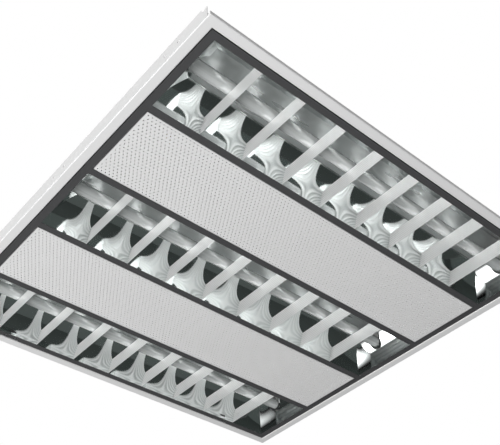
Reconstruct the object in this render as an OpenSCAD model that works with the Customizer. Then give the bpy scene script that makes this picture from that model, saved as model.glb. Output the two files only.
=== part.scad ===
// Recessed troffer light for a 600 mm lay-in ceiling grid, with three linear lamps.
// Origin: middle of the flange's room side. X runs along the lamps, Y across the rows, Z up.
// A louvre tray with three mirror rows and two perforated panels hinges down for relamping.

/* [Flange] */
// Outer size of the square flange
face = 597; // [596:0.5:599]
// Width of the white flange that shows in the ceiling
flange_w = 12; // [11.5:0.1:12.5]
// Height of the upstand along the two lamp ends
upstand_h = 20.8; // [18:0.2:24]
// Height of the folded lip along the two long sides
lip_h = 4.5; // [3:0.5:8]
// Length of upstand left out at each corner
upstand_gap = 5; // [3:0.5:10]
// Steel sheet thickness
steel_t = 0.8; // [0.7:0.1:0.8]
// Outer radius of the folds along the flange
bend_r = 1.4; // [1.2:0.1:1.6]

/* [Housing] */
// Height of the housing without its beads
housing_h = 56; // [56:0.5:60]
// How far the long walls lean in from foot to roof
side_lean = 18; // [14:0.5:20]
// How far the end walls lean in from foot to roof
end_lean = 5.5; // [4:0.1:5.5]
// Height of the upright foot of every wall
wall_foot = 15; // [14:0.5:16]
// Spacing of the suspension slots along the lamps
suspension_x = 420; // [300:10:460]
// Spacing of the suspension slots across the lamps
suspension_y = 340; // [330:5:345]
// Radius of the mains cable entry in the roof
entry_r = 10; // [8:0.5:11]

/* [Louvre] */
// Width of a mirror row at the face
row_w = 103; // [102:0.5:103.5]
// Spacing of the three rows
row_pitch = 225.6; // [225.4:0.1:225.8]
// Width of the dark tray bars between rows and panels
bar_w = 8.6; // [8.4:0.1:9]
// Width of the tray bars at the rows' ends, with the gap beside them
end_bar_w = 10.3; // [10:0.1:11]
// Gap between the flange and the louvre tray
tray_gap = 1.1; // [1.1:0.1:1.3]
// Height of the top edge of the mirrors
mirror_h = 43; // [42.5:0.5:44]
// How far a mirror leans over its row from foot to top
mirror_lean = 27.5; // [26:0.5:28]
// Lean of a mirror at its foot, in degrees
mirror_foot_angle = 15; // [14:0.5:18]
// Aluminium sheet thickness
alu_t = 0.5; // [0.4:0.1:0.6]
// Number of cross blades in a row
blade_count = 8; // [4:2:8]
// Spacing of the cross blades
blade_pitch = 60.8; // [58:0.1:61]
// Height of a cross blade
blade_h = 20.6; // [18:0.2:20.8]
// Number of rolled ribs up a blade
rib_count = 7; // [6:1:14]

/* [Lamps] */
// Length of a lamp over its caps, without the pins
lamp_len = 549; // [548.6:0.1:549.2]
// Diameter of a lamp tube
lamp_d = 16; // [15.6:0.1:16]
// Height of the lamp axis above the face
lamp_z = 30; // [30:0.1:30.4]

/* [Opening hardware] */
// Distance of the catches and hinges from the middle
catch_x = 191; // [170:1:210]
// Diameter of the hinge pin
pin_d = 2; // [1.8:0.1:2]

/* [Hidden] */

white = [0.86, 0.86, 0.85];
dark_grey = [0.28, 0.28, 0.28];
mirror_alu = [0.80, 0.82, 0.83];
satin_alu = [0.72, 0.74, 0.74];
zinc = [0.62, 0.64, 0.66];
holder_white = [0.93, 0.93, 0.91];
glass_white = [0.95, 0.95, 0.94];
brass = [0.75, 0.62, 0.35];
rubber_black = [0.15, 0.15, 0.15];

$fn = 64;
half = face / 2;
wall = half - flange_w;
front = -row_pitch;
middle = 0;
rear = row_pitch;
left = -1;
right = 1;

// Housing sections
roof_y = wall - side_lean;
roof_x = wall - end_lean;
roof_in = housing_h - steel_t;
bead_h = 2;
bead_w = 14;
bead_l = 460;
bead_ys = [-190, 0, 190];
tab_w = 12;
slot_l = 20;
slot_w = 6.5;

// How far every cutting shape reaches past the faces it cuts
past = 1;

// Upstand holes: pairs of small holes, in the same order on both identical end plates
hole_r = 1.6;
hole_gap = 22;
hole_z = 11;
hole_pair_y = -237;
hole_pair_step = 213;

// Room-side space of the roof, above the front panel
entry_x = -150;
block_x = -90;
stud_x = -210;
gear_l = 360;
gear_w = 30;
gear_h = 21;
gear_tab_l = 12;
gear_tab_t = 1;
gear_hole_r = 2.1;
gear_screw_x = gear_l / 2 - 5;
screw_fit = 0.15;

// Louvre tray
tray_z = 0.4;
tray_out = wall - tray_gap;
tray_top = tray_z + steel_t;
rim_h = 8;
rim_t = 0.8;
cell_half = row_w / 2;
cell_end = wall - end_bar_w;
panel_w = row_pitch - row_w - 2 * bar_w;
panel_y = row_pitch / 2;
panel_fit = 0.15;
mirror_foot_w = 3.3;
mitre = cell_end - cell_half;
mitre_gap = 0.1;

// A mirror's section is an arc with a known chord and a known lean at its foot
mirror_rise = mirror_h - tray_top;
mirror_chord = sqrt(mirror_lean * mirror_lean + mirror_rise * mirror_rise);
mirror_r = mirror_chord / (2 * sin(atan(mirror_lean / mirror_rise) - mirror_foot_angle));
arc_in = mirror_r * cos(mirror_foot_angle);
arc_z = tray_top - mirror_r * sin(mirror_foot_angle);
function mirror_y(z) = cell_half - arc_in + sqrt(mirror_r * mirror_r - (z - arc_z) * (z - arc_z));

// Cross blades and the tabs that hold them in the mirrors
blade_z = tray_z + 0.2;
blade_t = 0.5;
blade_gap = 0.2;
rib_depth = 0.3;
tab_h = 4;
tab_zs = [blade_z + 3, blade_z + 12];
tab_out = 1.6;
slot_room = 0.22;
blade_xs = [for (i = [0:blade_count - 1]) (i - (blade_count - 1) / 2) * blade_pitch];

// Hinge axis, low and close to the rear wall
hinge_y = tray_out - 3;
hinge_z = 2.9;
knuckle_r = 2.2;
knuckle_l = 12.4;
ear_t = 1.2;
ear_gap = 0.3;
bracket_l = 24;
bracket_t = 0.8;
ear_low = 1.5;

// Lamps and lampholders, measured along X from the middle
cap_l = 8.5;
cap_r = lamp_d / 2 + 0.25;
glass_t = 0.7;
lamp_end = lamp_len / 2;
pin_l = 7;
pin_r = 1.18;
pin_gap = 4.75;
holder_face = lamp_end + 0.3;
holder_back = 283;
holder_half = 10;
rotor_r = 7.4;
rotor_t = 4;
rotor_fit = 0.08;
pin_slot = 2 * pin_r + 0.1;

// How far a lamp moves sideways in the tray while it rises past the mirrors' top edge
function lamp_shift(y) =
    hinge_y - y - sqrt(pow(hinge_y - y, 2) + pow(lamp_z - hinge_z, 2) - pow(mirror_h - hinge_z, 2));

// Copies its children at the left end, or mirrored at the right end
module at_end(side) {
    if (side == left) children();
    else mirror([1, 0, 0]) children();
}

// Extrudes an outline in Y and Z along X, centred
module along_x(length) {
    rotate([90, 0, 90]) translate([0, 0, -length / 2]) linear_extrude(length) children();
}

// Extrudes an outline in X and Z along Y, centred
module along_y(length) {
    rotate([90, 0, 0]) translate([0, 0, -length / 2]) linear_extrude(length) children();
}

// Outline between two leaning walls with upright feet, grown by t
module wall_section(foot_half, roof_half, t, low, high) {
    polygon([[-foot_half - t, low], [foot_half + t, low], [foot_half + t, wall_foot],
             [roof_half + t, high], [-roof_half - t, high], [-foot_half - t, wall_foot]]);
}

module stadium(length, width, height) {
    translate([-(length - width) / 2, -width / 2, 0]) cube([length - width, width, height]);
    for (e = [-1, 1]) translate([e * (length - width) / 2, 0, 0]) cylinder(h = height, d = width);
}

// Outline of a flange between two folds: the wall's fold inside, and an outer edge turned up
module flange_outline(height) {
    translate([wall + bend_r, 0]) square([flange_w - 2 * bend_r, steel_t]);
    translate([half - steel_t, bend_r]) square([steel_t, height - bend_r]);
    for (fold = [[wall + bend_r, -1], [half - bend_r, 1]]) translate([fold[0], bend_r]) intersection() {
        difference() {
            circle(r = bend_r);
            circle(r = bend_r - steel_t);
        }
        translate([fold[1] < 0 ? -bend_r : 0, -bend_r]) square(bend_r);
    }
}

// The flange that one wall carries, cut at 45 degrees where it meets its neighbour
module mitred_flange(side, height) {
    mirror([0, side < 0 ? 1 : 0, 0]) intersection() {
        along_x(face) flange_outline(height);
        linear_extrude(height) polygon([[0, 0], [half, half], [-half, half]]);
    }
}

// Folded steel tray: flanges and lips along the rows, leaning walls and a beaded roof
module housing_tray() {
    color(white) difference() {
        union() {
            intersection() {
                along_x(face) difference() {
                    wall_section(wall, roof_y, steel_t, bend_r, housing_h);
                    wall_section(wall, roof_y, 0, -past, roof_in);
                }
                along_y(face) wall_section(wall, roof_x, 0, -past, housing_h);
            }
            for (s = [-1, 1]) mitred_flange(s, lip_h);
            for (y = bead_ys) translate([0, y, roof_in]) stadium(bead_l, bead_w, steel_t + bead_h);
        }
        for (y = bead_ys) translate([0, y, roof_in - past])
            stadium(bead_l - 2 * steel_t, bead_w - 2 * steel_t, bead_h + past);
        for (x = [-1, 1], y = [-1, 1])
            translate([x * suspension_x / 2, y * suspension_y / 2, roof_in - past])
                stadium(slot_l, slot_w, steel_t + 2 * past);
        translate([entry_x, -panel_y, roof_in - past]) cylinder(h = steel_t + 2 * past, r = entry_r);
    }
}

// End plate: end flange, tall upstand with its paired holes, leaning wall and roof tab
module end_plate(side) {
    color(white) rotate([0, 0, side == left ? 0 : 180]) difference() {
        union() {
            intersection() {
                along_y(face) polygon([
                    [-wall - steel_t, bend_r], [-wall, bend_r], [-wall, wall_foot], [-roof_x, housing_h],
                    [-roof_x + tab_w, housing_h], [-roof_x + tab_w, housing_h + steel_t],
                    [-roof_x - steel_t, housing_h + steel_t], [-wall - steel_t, wall_foot]]);
                along_x(face) wall_section(wall, roof_y, steel_t, -past, housing_h + steel_t);
            }
            rotate([0, 0, 90]) mitred_flange(1, upstand_h);
        }
        for (s = [-1, 1]) translate([-half, s * half, upstand_h / 2 + steel_t])
            cube([2 * bend_r, 2 * upstand_gap, upstand_h], center = true);
        for (n = [0:2], d = [-0.5, 0.5])
            translate([-half - past, hole_pair_y + n * hole_pair_step + d * hole_gap, hole_z])
                rotate([0, 90, 0]) cylinder(h = steel_t + 2 * past, r = hole_r);
    }
}

// Arched mirror above one lamp, fixed under the roof
module lamp_reflector(y) {
    overlap = 3;
    clear = 1;
    land = 8;
    arch_facets = 240;
    arch_half = cell_half - mirror_lean + overlap;
    arch_rise = roof_in - mirror_h - clear;
    arch_r = (arch_half * arch_half + arch_rise * arch_rise) / (2 * arch_rise);
    color(mirror_alu) translate([0, y, 0]) along_x(2 * (cell_end - mirror_lean + clear)) union() {
        intersection() {
            translate([0, roof_in - arch_r]) difference() {
                circle(r = arch_r, $fn = arch_facets);
                circle(r = arch_r - alu_t, $fn = arch_facets);
            }
            translate([-arch_half, mirror_h + clear]) square([2 * arch_half, arch_rise]);
        }
        translate([-land, roof_in - alu_t]) square([2 * land, alu_t]);
    }
}

// Rotary lampholder: round head with an entry slot below, and a stem up to the roof
module lampholder(side, y) {
    head_low = 18;
    stem_back = 279.5;
    foot_t = 2;
    foot_side = 3;
    entry_w = 3.2;
    wall_t = 0.8;
    contact_r = 4.6;
    behind_rotor = 0.4;
    color(holder_white) translate([0, y, 0]) at_end(side) difference() {
        union() {
            translate([-holder_face, 0, lamp_z]) rotate([0, -90, 0])
                cylinder(h = holder_back - holder_face, r = holder_half);
            translate([-holder_back, -holder_half, head_low])
                cube([holder_back - holder_face, 2 * holder_half, lamp_z - head_low]);
            translate([-stem_back, -holder_half, lamp_z])
                cube([stem_back - holder_face, 2 * holder_half, roof_in - lamp_z]);
            translate([-stem_back, -holder_half - foot_side, roof_in - foot_t])
                cube([stem_back - holder_face, 2 * (holder_half + foot_side), foot_t]);
        }
        translate([-holder_face + past, 0, lamp_z]) rotate([0, -90, 0])
            cylinder(h = rotor_t + behind_rotor + past, r = rotor_r + rotor_fit);
        translate([-holder_face + past, 0, lamp_z]) rotate([0, -90, 0])
            cylinder(h = holder_back - holder_face + past - wall_t, r = contact_r);
        translate([-holder_back + wall_t, -entry_w / 2, head_low - past])
            cube([holder_back - holder_face, entry_w, lamp_z - head_low + past]);
    }
}

// Electronic control gear: steel case with end tabs and rows of terminals
module control_gear() {
    case_z = roof_in - gear_h;
    port_w = 2.8;
    port_depth = 5;
    port_pitch = 4;
    port_z = case_z + 5;
    color(white) translate([0, panel_y, 0]) difference() {
        union() {
            translate([-gear_l / 2 + gear_tab_l, -gear_w / 2, case_z])
                cube([gear_l - 2 * gear_tab_l, gear_w, gear_h]);
            translate([-gear_l / 2, -gear_w / 2, roof_in - gear_tab_t]) cube([gear_l, gear_w, gear_tab_t]);
        }
        for (e = [-1, 1]) {
            translate([e * gear_screw_x, 0, roof_in - gear_tab_t - past])
                cylinder(h = gear_tab_t + 2 * past, r = gear_hole_r);
            for (n = [-3:3]) translate([e * (gear_l / 2 - gear_tab_l), n * port_pitch, port_z])
                cube([2 * port_depth, port_w, port_w], center = true);
        }
    }
}

// Screws that hold the control gear's end tabs up against the roof
module gear_screws() {
    head_h = 2.2;
    head_r = 3.6;
    root = 0.5;
    color(zinc) for (e = [-1, 1]) translate([e * gear_screw_x, panel_y, roof_in - gear_tab_t]) {
        translate([0, 0, -head_h]) cylinder(h = head_h, r = head_r);
        translate([0, 0, -root]) cylinder(h = gear_tab_t + root, r = gear_hole_r - screw_fit);
    }
}

// Mains terminal block under the roof, with wire entries on two sides and screws below
module terminal_block() {
    block_l = 36;
    block_w = 18;
    block_h = 17;
    pole_pitch = 11;
    wire_r = 2;
    wire_z = 7;
    screw_r = 2.4;
    screw_depth = 4;
    color(holder_white) translate([block_x, -panel_y, roof_in - block_h]) difference() {
        translate([-block_l / 2, -block_w / 2, 0]) cube([block_l, block_w, block_h]);
        for (n = [-1:1]) translate([n * pole_pitch, 0, 0]) {
            translate([0, block_w, wire_z]) rotate([90, 0, 0]) cylinder(h = 2 * block_w, r = wire_r);
            translate([0, 0, -past]) cylinder(h = screw_depth + past, r = screw_r);
        }
    }
}

// Rubber grommet in the mains cable entry
module cable_grommet() {
    lip = 2.5;
    lip_slope = 0.8;
    grip = 1.6;
    crown = 1.2;
    bore_r = 4;
    color(rubber_black) translate([entry_x, -panel_y, roof_in - grip]) rotate_extrude()
        polygon([[bore_r, 0], [entry_r + lip, 0], [entry_r + lip, grip], [entry_r, grip],
                 [entry_r, grip + steel_t], [entry_r + lip - lip_slope, grip + steel_t],
                 [entry_r - lip_slope, grip + steel_t + crown], [bore_r, grip + steel_t + crown]]);
}

// Earth stud with its washer and nut, hanging from the roof
module earth_stud() {
    stud_l = 12;
    stud_r = 2;
    washer_t = 1;
    washer_r = 5;
    nut_h = 3.2;
    nut_r = 4;
    color(brass) translate([stud_x, -panel_y, 0]) {
        translate([0, 0, roof_in - stud_l]) cylinder(h = stud_l, r = stud_r);
        translate([0, 0, roof_in - washer_t]) cylinder(h = washer_t, r = washer_r);
        translate([0, 0, roof_in - washer_t - nut_h]) cylinder(h = nut_h, r = nut_r, $fn = 6);
    }
}

// Blind rivets that close the end plates' roof tabs onto the tray
module end_plate_rivets() {
    rivet_ys = [-225, -85, 85, 225];
    head_h = 0.9;
    head_r = 3;
    crown_r = 2.2;
    color(zinc) for (s = [-1, 1], y = rivet_ys)
        translate([s * (roof_x - tab_w / 2), y, housing_h + steel_t])
            cylinder(h = head_h, r1 = head_r, r2 = crown_r);
}

// Hinge bracket on the rear wall: two ears hold the pin
module hinge_bracket(side) {
    plate_h = 11;
    ear_r = 1.8;
    bore_fit = 0.02;
    color(zinc) translate([side * catch_x, 0, 0]) difference() {
        union() {
            translate([-bracket_l / 2, wall - bracket_t, ear_low]) cube([bracket_l, bracket_t, plate_h]);
            for (e = [-1, 1]) translate([e * (knuckle_l / 2 + ear_gap + ear_t / 2), 0, 0])
                along_x(ear_t) union() {
                    translate([hinge_y, ear_low]) square([wall - bracket_t / 2 - hinge_y, 2 * ear_r]);
                    translate([hinge_y, ear_low + ear_r]) circle(r = ear_r);
                }
        }
        translate([-bracket_l, hinge_y, hinge_z]) rotate([0, 90, 0])
            cylinder(h = 2 * bracket_l, r = pin_d / 2 + bore_fit);
    }
}

module hinge_pin(side) {
    spare = 1;
    head_t = 0.6;
    head_over = 0.35;
    grip = knuckle_l + 2 * (ear_gap + ear_t) + spare;
    color(zinc) translate([side * catch_x - grip / 2, hinge_y, hinge_z]) rotate([0, 90, 0]) {
        cylinder(h = grip, r = pin_d / 2);
        translate([0, 0, -head_t]) cylinder(h = head_t, r = pin_d / 2 + head_over);
    }
}

// Leaf spring on the front wall; its bowed nose bears on the rim of the closed louvre tray
module latch_spring(side) {
    leaf_w = 12;
    leaf_t = 0.4;
    leaf_low = 2.2;
    leaf_top = 14.5;
    nose_low = 4.7;
    nose_top = 5.9;
    rise = 2;
    play = 0.15;
    nose = tray_gap - play;
    color(zinc) translate([side * catch_x, -wall, 0]) along_x(leaf_w) polygon([
        [0, leaf_top], [leaf_t, leaf_top], [leaf_t, nose_top + rise], [nose, nose_top],
        [nose, nose_low], [leaf_t, leaf_low], [0, leaf_low], [nose - leaf_t, nose_low + leaf_t / 2],
        [nose - leaf_t, nose_top - leaf_t / 2], [0, nose_top + rise - leaf_t]]);
}

// Glass tube of a lamp
module lamp_tube(y) {
    glass_end = lamp_end - cap_l;
    color(glass_white) translate([-glass_end, y, lamp_z]) rotate([0, 90, 0]) difference() {
        cylinder(h = 2 * glass_end, d = lamp_d);
        translate([0, 0, -past]) cylinder(h = 2 * (glass_end + past), r = lamp_d / 2 - glass_t);
    }
}

// Metal lamp cap with two pins, which lie level when the lamp is locked
module lamp_cap(side, y) {
    neck_l = 1.5;
    neck_in = 1.2;
    root = 1;
    color(mirror_alu) translate([0, y, lamp_z]) at_end(side) {
        translate([-(lamp_end - cap_l), 0, 0]) rotate([0, -90, 0]) rotate_extrude()
            polygon([[0, 0], [cap_r, 0], [cap_r, cap_l - neck_l], [cap_r - neck_in, cap_l], [0, cap_l]]);
        for (p = [-1, 1]) translate([-lamp_end + root, p * pin_gap / 2, 0]) rotate([0, -90, 0])
            cylinder(h = pin_l + root, r = pin_r);
    }
}

// Turning centre of a lampholder: a slot takes the pins, two holes let them through
module rotor(side, y) {
    back_t = 1;
    color(holder_white) translate([0, y, lamp_z]) at_end(side) difference() {
        translate([-holder_face, 0, 0]) rotate([0, -90, 0]) cylinder(h = rotor_t, r = rotor_r);
        translate([-holder_face - rotor_t + back_t, -rotor_r - past, -pin_slot / 2])
            cube([rotor_t, 2 * (rotor_r + past), pin_slot]);
        for (p = [-1, 1]) translate([-holder_face + past, p * pin_gap / 2, 0]) rotate([0, -90, 0])
            cylinder(h = rotor_t + 2 * past, r = pin_slot / 2);
    }
}

// The five openings of the louvre tray: three rows and two panels
module tray_openings() {
    for (y = [front, middle, rear]) translate([0, y]) square([2 * cell_end, row_w], center = true);
    for (s = [-1, 1]) translate([0, s * panel_y]) square([2 * cell_end, panel_w], center = true);
}

// Dark ladder that carries the mirrors and the panels, with hinge knuckles at the rear
module louvre_tray() {
    notch_half = bracket_l / 2 + 1;
    notch_y = hinge_y + 1.2;
    ear_slot = ear_t + 0.6;
    ear_slot_y = hinge_y - 2.6;
    bore_fit = 0.05;
    cut_h = tray_z + rim_h + 2 * past;
    color(dark_grey) difference() {
        union() {
            translate([0, 0, tray_z]) linear_extrude(steel_t) difference() {
                square(2 * tray_out, center = true);
                tray_openings();
            }
            translate([0, 0, tray_z]) linear_extrude(rim_h) difference() {
                square(2 * tray_out, center = true);
                square(2 * (tray_out - rim_t), center = true);
            }
            translate([0, 0, tray_z]) linear_extrude(rim_h) for (s = [-1, 1]) translate([0, s * panel_y])
                difference() {
                    square([2 * (cell_end + rim_t), panel_w + 2 * rim_t], center = true);
                    square([2 * cell_end, panel_w], center = true);
                }
            for (s = [-1, 1]) translate([s * catch_x - knuckle_l / 2, hinge_y, hinge_z])
                rotate([0, 90, 0]) cylinder(h = knuckle_l, r = knuckle_r);
        }
        for (s = [-1, 1]) translate([s * catch_x, 0, -past]) {
            translate([-notch_half, notch_y, 0]) cube([2 * notch_half, wall - notch_y, cut_h]);
            for (e = [-1, 1])
                translate([e * (knuckle_l / 2 + ear_gap + ear_t / 2) - ear_slot / 2, ear_slot_y, 0])
                    cube([ear_slot, wall - ear_slot_y, cut_h]);
            translate([-bracket_l, hinge_y, hinge_z + past]) rotate([0, 90, 0])
                cylinder(h = 2 * bracket_l, r = pin_d / 2 + bore_fit);
        }
    }
}

// Panel between two rows: a shallow pan that drops into its opening of the tray
module perforated_panel(y) {
    pan_l = 2 * (cell_end - panel_fit);
    pan_w = panel_w - 2 * panel_fit;
    color(white) translate([0, y, tray_z]) difference() {
        translate([-pan_l / 2, -pan_w / 2, 0]) cube([pan_l, pan_w, rim_h]);
        translate([-pan_l / 2 + steel_t, -pan_w / 2 + steel_t, steel_t])
            cube([pan_l - 2 * steel_t, pan_w - 2 * steel_t, rim_h]);
    }
}

// Section of a mirror: a curved face above a flat foot; foot_at is where its face starts
module mirror_section(foot_at) {
    behind = 2;
    intersection() {
        translate([foot_at - arc_in, arc_z]) difference() {
            circle(r = mirror_r + alu_t);
            circle(r = mirror_r);
        }
        translate([foot_at - mirror_lean - past, tray_top]) square([mirror_lean + past + behind, mirror_rise]);
    }
    translate([foot_at + alu_t / 4, tray_top]) square([mirror_foot_w, alu_t]);
}

// Long mirror of a row, on its front (-1) or rear (1) side, with slots for the blade tabs
module side_mirror(y, s, release) {
    reach = cell_half + mirror_foot_w + 2 * past;
    slot_x = blade_t + rib_depth + 2 * slot_room;
    slot_z = tab_h + 2 * slot_room;
    release_l = 10;
    release_h = 2.4;
    release_z = 5;
    color(mirror_alu) translate([0, y, 0]) mirror([0, s < 0 ? 1 : 0, 0]) difference() {
        intersection() {
            along_x(face) mirror_section(cell_half);
            linear_extrude(mirror_h + past) polygon([
                [-mitre + mitre_gap, 0], [mitre - mitre_gap, 0],
                [mitre - mitre_gap + reach, reach], [-mitre + mitre_gap - reach, reach]]);
        }
        for (x = blade_xs, z = tab_zs)
            translate([x - slot_x / 2 + rib_depth / 2, cell_half - mirror_lean, z - slot_room])
                cube([slot_x, mirror_lean + 2 * past, slot_z]);
        if (release) for (e = [-1, 1])
            translate([e * catch_x - release_l / 2, cell_half - mirror_lean, release_z])
                cube([release_l, mirror_lean + 2 * past, release_h]);
    }
}

// Short mirror at a row's end, notched for the lamp that it passes when the tray opens
module end_mirror(side, y) {
    reach = cell_end + mirror_foot_w + 2 * past;
    notch_r = cap_r + 2.2;
    notch_low = lamp_z - 0.5;
    swing = lamp_shift(y) + 4;
    color(mirror_alu) translate([0, y, 0]) at_end(side) difference() {
        intersection() {
            mirror([1, 0, 0]) along_y(2 * row_w) mirror_section(cell_end);
            linear_extrude(mirror_h + past) polygon([
                [-mitre - mitre_gap, 0], [-reach, reach - mitre - mitre_gap],
                [-reach, -reach + mitre + mitre_gap]]);
        }
        along_x(2 * face) union() {
            translate([0, notch_low]) circle(r = notch_r);
            polygon([[-notch_r, notch_low], [notch_r, notch_low],
                     [notch_r + swing, mirror_h + past], [-notch_r - past, mirror_h + past]]);
        }
    }
}

// Corrugated section of a blade: the rolled ribs run along it
module rib_section() {
    step = blade_h / (2 * rib_count);
    polygon(concat(
        [for (i = [0:2 * rib_count]) [-blade_t / 2 + rib_depth * (i % 2), blade_z + i * step]],
        [for (i = [2 * rib_count:-1:0]) [blade_t / 2 + rib_depth * (i % 2), blade_z + i * step]]));
}

// Outline of a blade across the row: its ends follow the curved mirrors
module blade_outline() {
    intersection() {
        translate([-cell_half, blade_z]) square([row_w, blade_h]);
        translate([cell_half - arc_in, arc_z]) circle(r = mirror_r - blade_gap);
        translate([arc_in - cell_half, arc_z]) circle(r = mirror_r - blade_gap);
    }
}

// The cross blades of one row, each held by four tabs through the mirrors
module cross_blades(y) {
    tab_in = 3;
    color(satin_alu) for (x = blade_xs) translate([x, y, 0]) {
        intersection() {
            along_y(row_w) rib_section();
            along_x(8 * blade_t) blade_outline();
        }
        for (s = [-1, 1], z = tab_zs) {
            tab_root = mirror_y(z + tab_h) - tab_in;
            tab_tip = mirror_y(z) + alu_t + tab_out;
            translate([-blade_t / 2 + rib_depth / 2, s > 0 ? tab_root : -tab_tip, z])
                cube([blade_t, tab_tip - tab_root, tab_h]);
        }
    }
}

housing_tray();
end_plate(left);  // end_plate_left
end_plate(right);  // end_plate_right
lamp_reflector(front);  // lamp_reflector_front
lamp_reflector(middle);  // lamp_reflector_middle
lamp_reflector(rear);  // lamp_reflector_rear
lampholder(left, front);  // lampholder_front_left
lampholder(right, front);  // lampholder_front_right
lampholder(left, middle);  // lampholder_middle_left
lampholder(right, middle);  // lampholder_middle_right
lampholder(left, rear);  // lampholder_rear_left
lampholder(right, rear);  // lampholder_rear_right
control_gear();
gear_screws();
terminal_block();
cable_grommet();
earth_stud();
end_plate_rivets();
hinge_bracket(left);  // hinge_bracket_left
hinge_bracket(right);  // hinge_bracket_right
hinge_pin(left);  // hinge_pin_left
hinge_pin(right);  // hinge_pin_right
latch_spring(left);  // latch_spring_left
latch_spring(right);  // latch_spring_right
lamp_tube(front);  // lamp_tube_front
lamp_tube(middle);  // lamp_tube_middle
lamp_tube(rear);  // lamp_tube_rear
lamp_cap(left, front);  // lamp_cap_front_left
lamp_cap(right, front);  // lamp_cap_front_right
lamp_cap(left, middle);  // lamp_cap_middle_left
lamp_cap(right, middle);  // lamp_cap_middle_right
lamp_cap(left, rear);  // lamp_cap_rear_left
lamp_cap(right, rear);  // lamp_cap_rear_right
rotor(left, front);  // rotor_front_left
rotor(right, front);  // rotor_front_right
rotor(left, middle);  // rotor_middle_left
rotor(right, middle);  // rotor_middle_right
rotor(left, rear);  // rotor_rear_left
rotor(right, rear);  // rotor_rear_right
louvre_tray();
perforated_panel(-panel_y);  // perforated_panel_front
perforated_panel(panel_y);  // perforated_panel_rear
side_mirror(front, -1, true);  // side_mirror_front_outer
side_mirror(front, 1, false);  // side_mirror_front_inner
side_mirror(middle, -1, false);  // side_mirror_middle_front
side_mirror(middle, 1, false);  // side_mirror_middle_rear
side_mirror(rear, -1, false);  // side_mirror_rear_inner
side_mirror(rear, 1, true);  // side_mirror_rear_outer
end_mirror(left, front);  // end_mirror_front_left
end_mirror(right, front);  // end_mirror_front_right
end_mirror(left, middle);  // end_mirror_middle_left
end_mirror(right, middle);  // end_mirror_middle_right
end_mirror(left, rear);  // end_mirror_rear_left
end_mirror(right, rear);  // end_mirror_rear_right
cross_blades(front);  // cross_blades_front
cross_blades(middle);  // cross_blades_middle
cross_blades(rear);  // cross_blades_rear
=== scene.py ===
"""Looks of a recessed troffer light with three linear lamps, dressed on its CAD frame."""
import math

import bmesh
import bpy
from mathutils import Matrix, Vector


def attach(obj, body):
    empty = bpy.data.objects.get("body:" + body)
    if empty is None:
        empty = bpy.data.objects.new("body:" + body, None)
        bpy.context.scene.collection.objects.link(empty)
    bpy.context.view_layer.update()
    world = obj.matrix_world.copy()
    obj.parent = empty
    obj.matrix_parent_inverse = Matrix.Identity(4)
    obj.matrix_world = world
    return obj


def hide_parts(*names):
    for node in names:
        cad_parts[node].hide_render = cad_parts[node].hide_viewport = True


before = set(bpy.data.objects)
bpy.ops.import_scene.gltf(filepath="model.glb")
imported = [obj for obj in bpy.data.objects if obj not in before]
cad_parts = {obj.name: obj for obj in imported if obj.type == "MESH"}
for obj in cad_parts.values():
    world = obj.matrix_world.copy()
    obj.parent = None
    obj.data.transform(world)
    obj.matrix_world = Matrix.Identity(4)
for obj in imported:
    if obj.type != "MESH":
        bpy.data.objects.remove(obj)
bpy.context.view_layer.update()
scene = bpy.context.scene

# Sizes in millimetres: X runs along the lamps, Y across the rows, and Z up from the flange
MM = 0.001
SIDES = (-1, 1)
ENDS = {"left": -1, "right": 1}
STEEL = 0.8
ALU = 0.5
ROUND_STEPS = 48

# Distances within which points count as one, and angles between faces that count as flat or sharp
TOUCH = 0.001
MERGE = 0.002
NEAR = 0.01
FLAT_ANGLE = math.radians(0.5)
SHARP_ANGLE = math.radians(35)

# Flange, upstand, walls and roof
FACE_HALF = 298.5
WALL = 286.5
BEND = 1.4
LIP_TOP = 4.5
UPSTAND_TOP = 20.8
UPSTAND_END = 293.5
UPSTAND_CUT = 1.3
UPSTAND_CUT_LOW = 0.9
WALL_FOOT = 15.0
ROOF_Y = 268.5
ROOF_X = 281.0
ROOF_IN = 55.2
ROOF_OUT = ROOF_IN + STEEL
ROOF_BEND = 2.0
ROOF_TAB = 12
TAB_BEND = 1.6

# Sheets start a little too long, for the mitres to cut, and cutters reach past them
SHEET_LONG = 2 * FACE_HALF + 2
PAST_X = 320
PAST_Y = 310
PAST_Z = 40

# Wedges cut the end plate's slope where the roof's sides lean in
WEDGE_IN = 200
WEDGE_WIDE = 40
WEDGE_HIGH = 120

# Pairs of fixing holes in the upstand, and the roof's suspension slots, cable hole and beads
FIXING_PAIRS = (-237, -24, 189)
FIXING_HALF = 11
FIXING_R = 1.6
FIXING_Z = 11
FIXING_IN = 290
FIXING_OUT = 305
SUSPENSION_XS = (-210, 210)
SUSPENSION_YS = (-170, 170)
SUSPENSION_LONG = 10
SUSPENSION_WIDE = 3.25
SUSPENSION_CORNER = 3.2
CABLE_X = -150
CABLE_R = 10
DRILL_LOW = 50
DRILL_HIGH = 60
BEAD_YS = (-190, 0, 190)
BEAD_LONG = 230
BEAD_WIDE = 7
BEAD_CORNER = 6.9
BEAD_HIGH = 2
BEAD_SUNK = 0.2

# Rows and mirrors
ROW_PITCH = 225.6
ROWS = {"front": -ROW_PITCH, "middle": 0.0, "rear": ROW_PITCH}
CELL_HALF = 51.5
CELL_END = 276.2
TRAY_TOP = 1.2
MIRROR_TOP = 43.0
MIRROR_LEAN = 27.5
FOOT_ANGLE = math.radians(15.0)
FOOT_WIDE = 3.3
FOOT_RISE = 0.01
ARC_STEP = math.radians(0.75)
MITRE_GAP = 0.1
SIDE_SHEET_LONG = 2 * CELL_END + 20
END_SHEET_LONG = 120
ARCH_WIDER = 3
ARCH_GAP = 1
ARCH_HALF_LONG = CELL_END - MIRROR_LEAN + 1
ARCH_STEPS = 72

# The louvre's hinge line, about which the end mirrors swing past the lamps
HINGE_Y = 282.4
HINGE_Z = 2.9

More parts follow.
